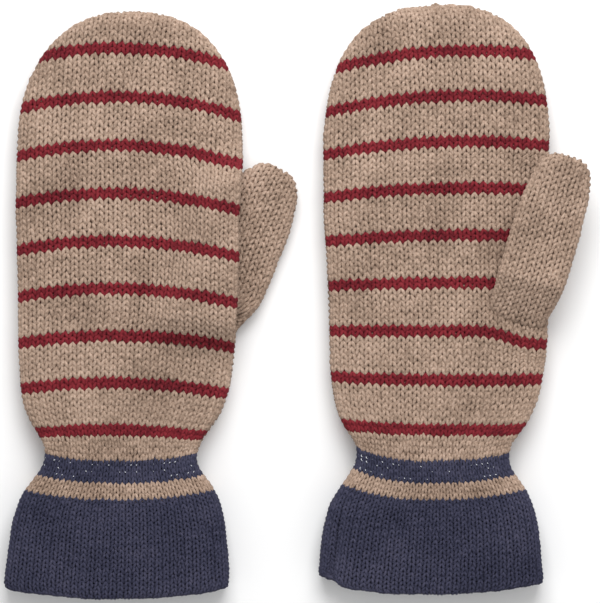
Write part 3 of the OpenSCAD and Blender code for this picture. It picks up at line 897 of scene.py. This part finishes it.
def along_middle(m, start, end):
    """Two points on a mitten's middle line, at the ends of a joint's span."""
    height = HAND_THICK / 2
    return place(m, 0.0, np.float64(start), height), place(m, 0.0, np.float64(end), height)


def fold_y(m):
    """The line that the finger part folds along, at the top of the highest stripe below it."""
    return stripe_y(m, FOLDING_STRIPE) + STRIPE_H / 2


def fold_span(m):
    before, after = FOLD_SPAN
    return along_middle(m, fold_y(m) + before, fold_y(m) + after)


def wrist_span(m):
    return along_middle(m, *WRIST_SPAN)


def thumb_span(m):
    height = m.thumb_floor + THUMB_THICK / 2
    return tuple(by_thumb(m, np.float64(q), 0.0, height) for q in THUMB_SPAN)


def closing_levels(start, end, rows):
    """Levels from start to end that come ever closer together, as a rounded tip needs."""
    return start + (end - start) * np.sin(np.linspace(0, np.pi / 2, rows))


def up_to_tip(start, end, tip_len, tip_rows):
    """Levels at an even step, then ever closer together over the rounded tip."""
    straight = np.arange(start, end - tip_len, ROW_STEP)
    return np.concatenate((straight, closing_levels(end - tip_len, end - TIP_STOP, tip_rows)))


def panel_surface(m, face):
    levels = up_to_tip(PANEL_START, m.tip_y, PANEL_TIP, PANEL_TIP_ROWS)
    return Surface(levels, [face_rows(m, face, levels)], straight_from=SHOULDER_Y)


def thumb_mouth(m):
    """Tells which points of the palm lie in the thumb's opening."""

    def inside(points):
        y = points[:, 1] - WRIST_Y
        q = y - m.thumb_y
        axis = by_thumb(m, q, 0.0, 0.0)[:, 0]
        slope = thumb_slope(m, q)
        across = (points[:, 0] - axis) / np.sqrt(1 + slope ** 2)
        q = q + across * slope / np.sqrt(1 + slope ** 2)
        along_share = np.abs(q - ROOT_LEN / 2) / (ROOT_LEN / 2 - MOUTH_RIM)
        across_share = np.abs(across) / (THUMB_ROOT_HALF_W - MOUTH_RIM)
        return along_share ** THUMB_EDGE_POWER + across_share ** THUMB_EDGE_POWER < 1

    return inside


def hand_panel(m, face):
    """One face of the hand: its sand bands and burgundy stripes, below and above the fold."""
    surface = panel_surface(m, face)
    side = "back" if face == m.back else "palm"
    wales = round(float(surface.width(surface.along(SHOULDER_Y))) / HAND_WALE)
    masked = thumb_mouth(m) if side == "palm" else None
    seed = 10 * MITTENS.index(m) + (face == TOP) * 100

    parts = {key: Piece(name_of(m, f"{key}_knit")) for key in
             (f"{side}_sand", f"{side}_stripes", f"finger_{side}_sand", f"finger_{side}_stripes")}

    def fill(key, low_v, high_v):
        low, high = surface.along(low_v), surface.along(high_v)
        knit_band(parts[key], surface, low, high, wales, HAND_STITCH, seed + int(low), masked=masked)

    for i in range(LOWEST_STRIPE, -1, -1):
        low, high = stripe_y(m, i) - STRIPE_H / 2, stripe_y(m, i) + STRIPE_H / 2
        above = stripe_y(m, i - 1) - STRIPE_H / 2 if i else m.tip_y - TIP_STOP
        stripe_part = "finger_" if i < FOLDING_STRIPE else ""
        sand_part = "finger_" if i <= FOLDING_STRIPE else ""
        fill(f"{stripe_part}{side}_stripes", low, high)
        fill(f"{sand_part}{side}_sand", high, above)
    for key, piece in parts.items():
        yarn = BURGUNDY if key.endswith("stripes") else SAND
        add(piece, m, key, yarn, ("hand", "fingers"), span=fold_span(m))
    return wales


def ring_surface(m, low, high):
    levels = np.arange(low, high + ROW_STEP / 2, ROW_STEP)
    return Surface(levels, [face_rows(m, TOP, levels), face_rows(m, BOTTOM, levels)])


def wrist(m, hand_wales, cuff_wales):
    """The gathers above the wrist, the navy band, its elastic threads and the sand stripe."""
    surface = ring_surface(m, *WRIST_ROWS)
    tightest = surface.along(GATHER_LOW)
    pucker = Ripple(PUCKER_SEED + MITTENS.index(m), PUCKER_SIZE)

    def gathers(t, along, points):
        closeness = np.exp(-((along - tightest) / PUCKER_REACH) ** 2)
        return PUCKER_DEPTH * closeness * (pucker(points[:, 0], PUCKER_STRETCH * points[:, 1]) - 1.0)

    sleeves = (("wrist_gather", GATHER_LOW, GATHER_HIGH, hand_wales, GATHER_STITCH, SAND, 31),
               ("wrist_band", BAND_LOW, GATHER_LOW, cuff_wales, BAND_STITCH, NAVY, 37),
               ("cuff_stripe", CUFF_STRIPE_LOW, BAND_LOW, cuff_wales, BAND_STITCH, SAND, 41))
    for part, low_v, high_v, wales, stitch, yarn, seed in sleeves:
        piece = Piece(name_of(m, f"{part}_knit"))
        low, high = surface.along(low_v), surface.along(high_v)
        knit_band(piece, surface, low, high, wales, stitch, seed + 50 * MITTENS.index(m), relief=gathers)
        add(piece, m, part, yarn, ("hand", "cuff"), span=wrist_span(m))
    elastic(m, surface, cuff_wales)


def elastic(m, surface, wales):
    """Clear threads inside the wrist band, which peep out between its loops, where their painted
    near-white colour shows as tiny glints.
    """
    threads = Piece(name_of(m, "elastic_threads_knit"))
    rng = np.random.default_rng(GLINT_SEED + MITTENS.index(m))
    for level in GLINT_LEVELS:
        t = np.arange(0, 2, GLINT_STEP)
        peeps = rng.uniform(0.0, 1.0, 2 * wales + 1) ** GLINT_RARITY
        peep = peeps[np.floor(t * wales).astype(int)]
        edge = np.exp(-(((t - m.glint_edge) / GLINT_EDGE_REACH) ** 2)) if m.glint_edge else 0.0
        out = np.maximum(peep, edge) * np.abs(np.sin(np.pi * t * wales)) ** GLINT_SHORTNESS
        zigzag = (0.5 + 0.5 * edge) * np.sin(TAU * t * wales + rng.uniform(0, TAU))
        points, normals = surface.at(t, surface.along(level) + zigzag)
        points = points + normals * (GLINT_DEPTH * (out - 1))[:, None]
        threads.tube(points, normals, GLINT_RADIUS, closed=True)
    add(threads, m, "elastic_threads", ELASTIC, ("hand", "cuff"), span=wrist_span(m))


def creased(rows):
    """The cuff's points with its crease, left of which the side lies lower and its hem higher."""
    x, y, z = np.moveaxis(rows, -1, 0)
    middle = thickness(y - WRIST_Y) / 2
    beyond = x - (CREASE_X + CREASE_LEAN * (y - CREASE_TOP))
    down = clamp01((CREASE_TOP - y) / CREASE_LENGTH)
    groove = np.exp(-((beyond / CREASE_HALF_W) ** 2))
    side = smooth(0.5 - beyond / (4 * CREASE_HALF_W))
    sink = down * (CREASE_GROOVE * groove + CREASE_SIDE * side)
    hem_rise = HEM_RISE * np.where(beyond > 0, np.exp(-((beyond / HEM_CORNER) ** 2)), 1.0)
    z = np.where(z > middle, middle + (z - middle) * (1 - sink), z)
    return np.stack((x, y + hem_rise * down ** 2, z), axis=-1)


def cuff_surface(m):
    """The cuff as it was knitted: down inside as the facing, round the hem and up outside.

    Also gives the distances along it at which its parts start and end."""
    turn = (CUFF_WALL + FACING_WALL) / 2
    shoulder = m.cuff_low + HEM_H
    inner = np.arange(CUFF_STRIPE_LOW - FACING_GAP, shoulder + ROW_STEP / 2, -ROW_STEP)
    angles = np.radians(np.linspace(90, 0, HEM_ROWS))
    hem = m.cuff_low + HEM_H * (1 - np.cos(angles))
    tucks = HEM_ROUNDNESS * turn * (1 - np.sin(angles))
    outer = np.arange(shoulder + ROW_STEP, CUFF_STRIPE_LOW + CUFF_OVERRUN, ROW_STEP)
    v = np.concatenate((inner, hem, hem[::-1], outer))
    inset = np.concatenate((np.full(len(inner), 2 * turn), 2 * turn - tucks, tucks[::-1],
                            np.zeros(len(outer))))
    faces = [face_rows(m, face, v, inset) for face in (TOP, BOTTOM)]
    if m.creased:
        faces = [creased(rows) for rows in faces]
    surface = Surface(np.arange(len(v)), faces)
    outer_first = len(inner) + 2 * len(hem)
    outer_last = outer_first + np.interp(CUFF_STRIPE_LOW, outer, np.arange(len(outer)))
    marks = {"facing_top": 0, "facing_end": len(inner), "outer_start": outer_first - 1,
             "outer_end": outer_last}
    return surface, {key: float(surface.along(row)) for key, row in marks.items()}


def cuff(m, wales):
    surface, marks = cuff_surface(m)

    def ribs(t, along, points):
        """Every second wale boundary sinks a little, which draws fine darker lines up the cuff."""
        return -RIB_DEPTH * (0.5 + 0.5 * np.cos(np.pi * t)) ** RIB_SHARPNESS

    spans = (("cuff_facing", "facing_top", "facing_end", FACING_STITCH, 70),
             ("cuff_hem", "facing_end", "outer_start", CUFF_STITCH, 71),
             ("cuff_outer", "outer_start", "outer_end", CUFF_STITCH, 72))
    for part, low, high, stitch, seed in spans:
        piece = Piece(name_of(m, f"{part}_knit"))
        knit_band(piece, surface, marks[low], marks[high], wales, stitch,
                  seed + 10 * MITTENS.index(m), relief=ribs)
        add(piece, m, part, NAVY, ("cuff",))


def wind(piece, line, outward):
    """Winds seam yarn around a line that lies along an edge. outward is 1 or -1."""
    tangent = np.gradient(line, axis=0)
    tangent /= np.linalg.norm(tangent, axis=1, keepdims=True)
    out = np.cross(tangent, np.array([0.0, 0.0, 1.0])) * outward
    out /= np.linalg.norm(out, axis=1, keepdims=True)
    up = np.cross(out, tangent)
    core = line - SEAM_INSET * out
    along = np.concatenate(([0.0], np.cumsum(np.linalg.norm(np.diff(core, axis=0), axis=1))))
    wanted = np.arange(0, along[-1], SEAM_PITCH / SEAM_TURN_POINTS)
    core, out, up = (np.stack([np.interp(wanted, along, a[:, k]) for k in range(3)], axis=1)
                     for a in (core, out, up))
    turn = TAU * wanted / SEAM_PITCH
    spokes = np.cos(turn)[:, None] * out + np.sin(turn)[:, None] * up
    piece.tube(core + SEAM_RADIUS * spokes, spokes, SEAM_YARN)


def thumb(m):
    """The thumb and its root, as two faces that meet at the thumb's side edges."""
    turns = np.linspace(0, 90, ROOT_ROWS)
    qs = up_to_tip(ROOT_REACH + ROW_STEP, m.thumb_len, THUMB_TIP, THUMB_TIP_ROWS)
    levels = np.concatenate((ROOT_REACH * turns / 90.0, qs))
    root = Piece(name_of(m, "thumb_root_knit"))
    tube = Piece(name_of(m, "thumb_knit"))
    for number, start in enumerate((0.0, np.pi)):
        angles = start + np.linspace(0, np.pi, 2 * SECTION_STEPS + 1)
        rows = [root_row(m, turn, angles) for turn in turns] + [thumb_row(m, q, angles) for q in qs]
        surface = Surface(levels, [rows], straight_from=THUMB_WIDEST)
        wales = round(float(surface.width(surface.along(THUMB_WIDEST))) / HAND_WALE)
        joint = surface.along(ROOT_REACH)
        seed = 90 + number + 10 * MITTENS.index(m)
        knit_band(root, surface, 0.0, joint, wales, THUMB_STITCH, seed)
        knit_band(tube, surface, joint, float(surface.along_rows[-1]), wales, THUMB_STITCH, seed)
    qs = closing_levels(m.thumb_len - TIP_STOP - THUMB_CLOSING, m.thumb_len - TIP_STOP, THUMB_CLOSING_ROWS)
    right, left = (np.array([thumb_row(m, q, np.array([angle]))[0] for q in qs]) for angle in (0.0, np.pi))
    wind(tube, np.concatenate((right, left[::-1][1:])), 1)
    add(root, m, "thumb_root", SAND, ("hand", "thumb"), span=thumb_span(m))
    add(tube, m, "thumb", SAND, ("hand", "thumb"), span=thumb_span(m))


def seam_line(m, hand, levels):
    """The side edge at each level, where back and palm meet. hand is -1 for the left, 1 for the right."""
    u = hand * course_reach(m, levels, hand)
    return place(m, u, levels - droop(m, levels, u), thickness(levels) / 2 + lift(m, u, levels))


def seams(m):
    """The linked seams that join back and palm: up both sides, and over the fingertips."""
    low = stripe_y(m, LOWEST_STRIPE) - STRIPE_H / 2
    sides = Piece(name_of(m, "side_seams_knit"))
    for hand in (1, -1):
        wind(sides, seam_line(m, hand, np.linspace(low, fold_y(m), SIDE_SEAM_ROWS)), hand)
    add(sides, m, "side_seams", SEAM, ("hand", "fingers"), span=fold_span(m))

    tip = Piece(name_of(m, "tip_seam_knit"))
    levels = closing_levels(fold_y(m), m.tip_y - TIP_STOP, TIP_SEAM_ROWS)
    right, left = seam_line(m, 1, levels), seam_line(m, -1, levels)
    wind(tip, np.concatenate((right, left[::-1][1:])), 1)
    add(tip, m, "tip_seam", SEAM, ("hand", "fingers"), span=fold_span(m))


def mitten(m):
    hand_wales = hand_panel(m, TOP)
    hand_panel(m, BOTTOM)
    above_hem = ring_surface(m, m.cuff_low + CUFF_COUNT_Y, CUFF_STRIPE_LOW)
    cuff_wales = round(float(above_hem.widths[0]) / CUFF_WALE)
    wrist(m, hand_wales, cuff_wales)
    cuff(m, cuff_wales)
    thumb(m)
    seams(m)


# ---- the studio ----


@dataclass
class Lamp:
    """A square lamp that shines at the middle of the pair."""

    name: str
    spot: tuple
    width: float
    power: float


LAMPS = (
    Lamp("key", spot=(0.06, 0.62, 0.72), width=0.7, power=8.8),
    Lamp("fill", spot=(0.7, -0.5, 1.6), width=1.4, power=2.5),
)


def backdrop():
    """An even white sky, a plain pale floor and colours shown as they are."""
    scene = bpy.context.scene
    scene.view_settings.view_transform = "Standard"
    world = bpy.data.worlds.new("studio")
    world.use_nodes = True
    world.node_tree.nodes["Background"].inputs["Color"].default_value = (1.0, 1.0, 1.0, 1.0)
    world.node_tree.nodes["Background"].inputs["Strength"].default_value = SKY
    scene.world = world

    bpy.ops.mesh.primitive_plane_add(size=FLOOR_SIZE, location=(0, 0, FLOOR_Z))
    floor = bpy.context.object
    floor.name = "floor"
    white = bpy.data.materials.new("floor_white")
    white.use_nodes = True
    shader = white.node_tree.nodes["Principled BSDF"]
    shader.inputs["Base Color"].default_value = (FLOOR_WHITE, FLOOR_WHITE, FLOOR_WHITE, 1.0)
    shader.inputs["Roughness"].default_value = 0.9
    floor.data.materials.append(white)


def lamps():
    for lamp in LAMPS:
        light = bpy.data.lights.new(lamp.name, "AREA")
        light.size = lamp.width
        light.energy = lamp.power
        obj = bpy.data.objects.new(lamp.name, light)
        obj.location = lamp.spot
        obj.rotation_euler = (-Vector(lamp.spot)).to_track_quat("-Z", "Y").to_euler()
        bpy.context.scene.collection.objects.link(obj)


def camera():
    """Straight above the pair, from far away, as the photograph is taken."""
    data = bpy.data.cameras.new("camera")
    data.lens = data.sensor_width * (CAMERA_HEIGHT - VIEW_LEVEL) / VIEW_WIDTH
    obj = bpy.data.objects.new("camera", data)
    obj.location = (CAMERA_MIDDLE, CAMERA_MIDDLE, CAMERA_HEIGHT)
    bpy.context.scene.collection.objects.link(obj)
    bpy.context.scene.camera = obj


for pair_member in MITTENS:
    mitten(pair_member)
backdrop()
lamps()
camera()
